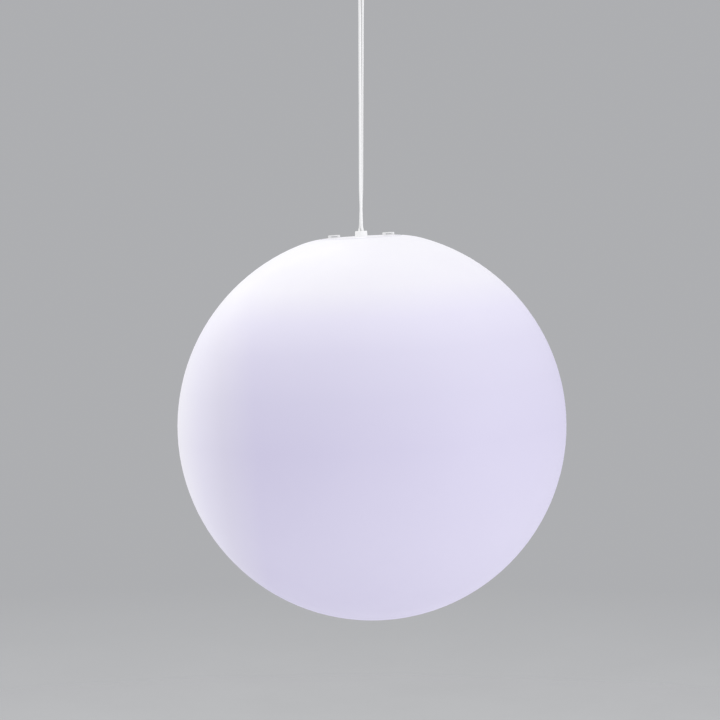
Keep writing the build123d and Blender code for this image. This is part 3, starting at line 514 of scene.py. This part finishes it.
def diffuser_material():
    """The lamp's frosted diffuser, lit from inside."""
    m = Finish("lamp_diffuser_glow")
    frost = m.noise(400.0)
    m.set(Base_Color=m.ramp(frost, (0.3, (0.80, 0.80, 0.78)), (0.7, (0.88, 0.88, 0.86))), Roughness=0.5)
    m.set(Emission_Color=m.ramp(m.noise(20.0), (0.3, (0.85, 0.84, 0.78)), (0.7, (0.95, 0.94, 0.90))))
    m.set(Emission_Strength=1.0)
    m.bump(frost, 0.00003)
    return m.material


def cord_material():
    """Thin white sheath with a painted glow, though no lamp shines through it: paler along the rounded
    halves, with painted shade greyer down in the groove between them.
    """
    m = Finish("cord_sheath")
    # painted shade: this weight paints the groove between the cores greyer
    painted_groove_shade = m.add("ShaderNodeAttribute", attribute_name="painted_groove_shade").outputs["Fac"]
    slow = m.ramp(m.noise(30.0), (0.3, tinted(CORD_WHITE, 0.97)), (0.7, CORD_WHITE))
    # painted light: the sheath glows, less down in the groove, though no lamp shines through it
    painted_glow = m.mix(painted_groove_shade, tinted(CORD_WHITE, 0.72), tinted(CORD_WHITE, 0.40))
    m.set(Base_Color=m.mix(painted_groove_shade, slow, tinted(CORD_WHITE, 0.62)))
    m.set(Emission_Color=painted_glow, Emission_Strength=1.0)
    m.set(Roughness=m.span(m.noise(120.0), 0.3, 0.7, 0.36, 0.48))
    m.bump(m.noise(1400.0, 2.0), 0.00001)
    return m.material


MATERIALS = {
    "globe": globe_material(),
    "diffuser": diffuser_material(),
    "white": plastic("white_moulding", WHITE, rough=0.34, grain=700.0, drift=0.04, coat=0.1),
    "cover": cover_material(),
    # painted light: the nylon screws, their washers and the strain relief glow, though no lamp shines
    # through them
    "nylon": plastic("white_nylon", (0.60, 0.60, 0.61), rough=0.38, grain=800.0, drift=0.03, painted_glow=0.34),
    "relief": plastic("white_relief", (0.48, 0.48, 0.485), grain=700.0, drift=0.03, painted_glow=0.92),
    "cord": cord_material(),
    "silicone": plastic(
        "white_silicone", (0.66, 0.66, 0.66), rough=0.6, grain=700.0, depth=0.00003, drift=0.06
    ),
    "dark_rubber": plastic("dark_rubber", (0.09, 0.09, 0.095), rough=0.8, depth=0.00004, drift=0.2),
    "black": plastic("black_insulator", (0.03, 0.03, 0.032), rough=0.3, grain=500.0, drift=0.3),
    "brown": plastic("brown_sheath", (0.20, 0.085, 0.035), rough=0.45, grain=1200.0, drift=0.12),
    "blue": plastic("blue_sheath", (0.03, 0.10, 0.38), rough=0.45, grain=1200.0, drift=0.12),
    "phosphor": plastic("yellow_phosphor", (0.85, 0.68, 0.16), rough=0.5, drift=0.15),
    "parts": plastic("dark_parts", (0.05, 0.05, 0.055), rough=0.5, grain=600.0, drift=0.3),
    "zinc": metal("zinc_plate", ZINC, rough=0.34),
    "brass": metal("brass", BRASS, rough=0.28),
    "aluminium": metal("aluminium", (0.72, 0.73, 0.74), rough=0.36),
    "ceramic": ceramic("glazed_ceramic", (0.80, 0.79, 0.75)),
    "board": board("circuit_board", (0.03, 0.20, 0.06)),
}

# the nodes of the frame that each material dresses
FINISHES = {
    "globe": ["globe_shell"],
    "diffuser": ["lamp_diffuser"],
    "white": [
        "canopy",
        "cord_grip",
        "grip_nut",
        "grip_cap",
        "holder_cap",
        "holder_skirt",
        "lamp_housing",
        "terminal_block",
    ],
    "relief": ["strain_relief", "relief_wedge", "relief_seal"],
    "cover": ["cover_plate"],
    "nylon": ["cover_screws", "screw_washers"],
    "cord": ["cord_head", "cord_inner"],
    "silicone": ["cover_gasket"],
    "dark_rubber": ["grip_collet"],
    "black": ["lamp_insulator"],
    "brown": ["live_lead_top", "live_lead_lamp"],
    "blue": ["neutral_lead_top", "neutral_lead_lamp"],
    "phosphor": ["led_chips"],
    "parts": ["driver_parts"],
    "zinc": [
        "mounting_bracket",
        "canopy_screws",
        "terminal_screws",
        "block_screw",
        "clamp_bar",
        "nipple",
        "post_screws",
        "lamp_contact",
    ],
    "brass": ["terminal_tubes", "nipple_nut", "holder_terminals", "screw_shell", "centre_contact"],
    "aluminium": ["lamp_cap", "led_board"],
    "ceramic": ["holder_base"],
    "board": ["driver_board"],
}


def dress(obj, material):
    """Give an object one material in place of those it has."""
    obj.data.materials.clear()
    obj.data.materials.append(material)


for finish, names in FINISHES.items():
    for node_name in names:
        dress(NODES[node_name], MATERIALS[finish])
for piece in (cord_main, cord_bend_upper, cord_bend_lower, cord_foot):
    dress(piece, MATERIALS["cord"])

# ---------------------------------------------------------------- floor, light and background

FLOOR_Z = -1.9
FLOOR_R = 6.0
FADE_START = 2.0  # the floor fades into the background between these distances
FADE_END = FLOOR_R * 0.95
BACKGROUND = (0.42, 0.425, 0.44)
AMBIENT = 0.92  # the strength of the white light from all round

bpy.ops.mesh.primitive_circle_add(
    vertices=96,
    radius=FLOOR_R,
    fill_type="NGON",
    location=(0, 0, FLOOR_Z),
)
floor = bpy.context.object
floor.name = "floor"
f = Finish("pale_floor")
f.set(Base_Color=f.ramp(f.noise(3.0), (0.3, tinted(BACKGROUND, 1.12)), (0.7, tinted(BACKGROUND, 1.18))))
f.set(Roughness=0.9)
away = f.add("ShaderNodeVectorMath", operation="LENGTH")
f.link(f.place, away.inputs[0])
fade = f.span(away.outputs["Value"], FADE_START, FADE_END)
clear = f.add("ShaderNodeBsdfTransparent")
faded = f.mix_shaders(fade, f.shader.outputs["BSDF"], clear.outputs["BSDF"])
f.link(faded, f.out.inputs["Surface"])
dress(floor, f.material)
floor.visible_shadow = False


def background(tree, colour, strength):
    """A world background of one even colour."""
    node = tree.add("ShaderNodeBackground")
    tree.feed(node.inputs["Color"], colour)
    tree.feed(node.inputs["Strength"], strength)
    return node.outputs["Background"]


# the world lights with even white, and shows plain grey
world = bpy.data.worlds.new("studio")
bpy.context.scene.world = world
world.use_nodes = True
w = Tree(world.node_tree)
rays = w.add("ShaderNodeLightPath").outputs
seen = w.math("MAXIMUM", rays["Is Camera Ray"], rays["Is Glossy Ray"])
seen = w.math("MAXIMUM", seen, rays["Is Transmission Ray"])
lit = background(w, (1.0, 1.0, 1.0), AMBIENT)
shown = background(w, BACKGROUND, 1.0)
world_out = w.add("ShaderNodeOutputWorld")
w.link(w.mix_shaders(seen, lit, shown), world_out.inputs["Surface"])


def sun(name, towards, strength, angle, colour=(1.0, 1.0, 1.0)):
    """A soft light from far off, shining the given way. The angle, in degrees, is how soft."""
    data = bpy.data.lights.new(name, "SUN")
    data.energy = strength
    data.angle = math.radians(angle)
    data.color = colour
    made = bpy.data.objects.new(name, data)
    bpy.context.scene.collection.objects.link(made)
    made.rotation_mode = "QUATERNION"
    made.rotation_quaternion = Vector(towards).to_track_quat("-Z", "Y")


sun("key_behind_left", (0.542, -0.542, -0.643), strength=0.94, angle=60.0, colour=(1.0, 0.995, 0.90))
sun("bounce", (0.0, 0.0, 1.0), strength=0.90, angle=120.0)
sun("fill_right", (-0.866, 0.5, 0.0), strength=0.90, angle=60.0, colour=(0.96, 0.95, 1.0))
